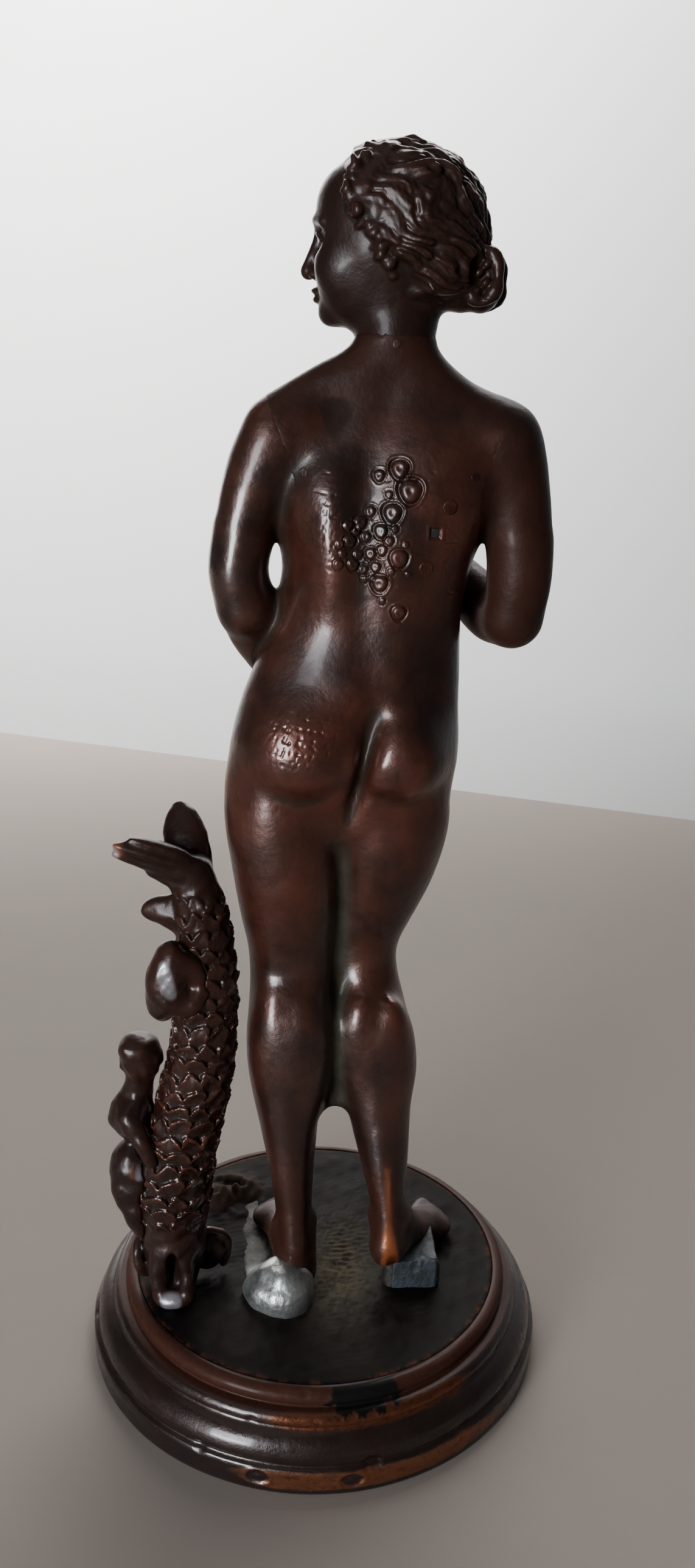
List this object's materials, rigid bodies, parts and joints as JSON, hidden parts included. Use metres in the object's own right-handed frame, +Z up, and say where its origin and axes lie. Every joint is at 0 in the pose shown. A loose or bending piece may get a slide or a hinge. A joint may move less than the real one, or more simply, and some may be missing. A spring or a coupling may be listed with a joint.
{
  "type": "bronze statuette",
  "caption": "Small hollow-cast standing figure beside an upright scaled dolphin, on a round moulded socle that stands on a flat ring.",
  "frame": {"origin": "centre of the socle's underside, on the surface that it stands on", "axes": "+Z up; the figure faces -Y; her left hand side, where the dolphin stands, is +X"},
  "size_m": [0.071, 0.071, 0.1749],
  "materials": {
    "figure_bronze": "dark brown-black glossy patina with red-brown wear",
    "dolphin_bronze": "dark red-brown patina, worn brown on the high points",
    "socle_bronze": "black lacquer worn to copper on the beads and the rim",
    "plate_lacquer": "pitted black lacquer with grey-green verdigris",
    "plug_copper": "worn red copper",
    "pin_bronze": "bare cast bronze",
    "solder": "dull silver-grey solder",
    "block_iron": "blue-grey oxidised metal",
    "iron": "dark wrought iron with light rust"
  },
  "bodies": {
    "root": {"socle": "socle_bronze", "ground_plate": "plate_lacquer", "figure_body": "figure_bronze", "head": "figure_bronze", "neck_pin": "pin_bronze", "left_arm": "figure_bronze", "left_arm_pin": "pin_bronze", "right_arm": "figure_bronze", "right_arm_pin": "pin_bronze", "core_plugs": "plug_copper", "core_chaplet": "iron", "dolphin": "dolphin_bronze", "upper_rider": "dolphin_bronze", "upper_rider_pin": "pin_bronze", "lower_rider": "dolphin_bronze", "lower_rider_pin": "pin_bronze", "heel_block": "block_iron", "heel_solder": "solder", "left_foot_stud": "iron", "right_foot_stud": "iron", "dolphin_stud": "iron", "washers": "pin_bronze", "nuts": "iron"}
  },
  "joints": []
}
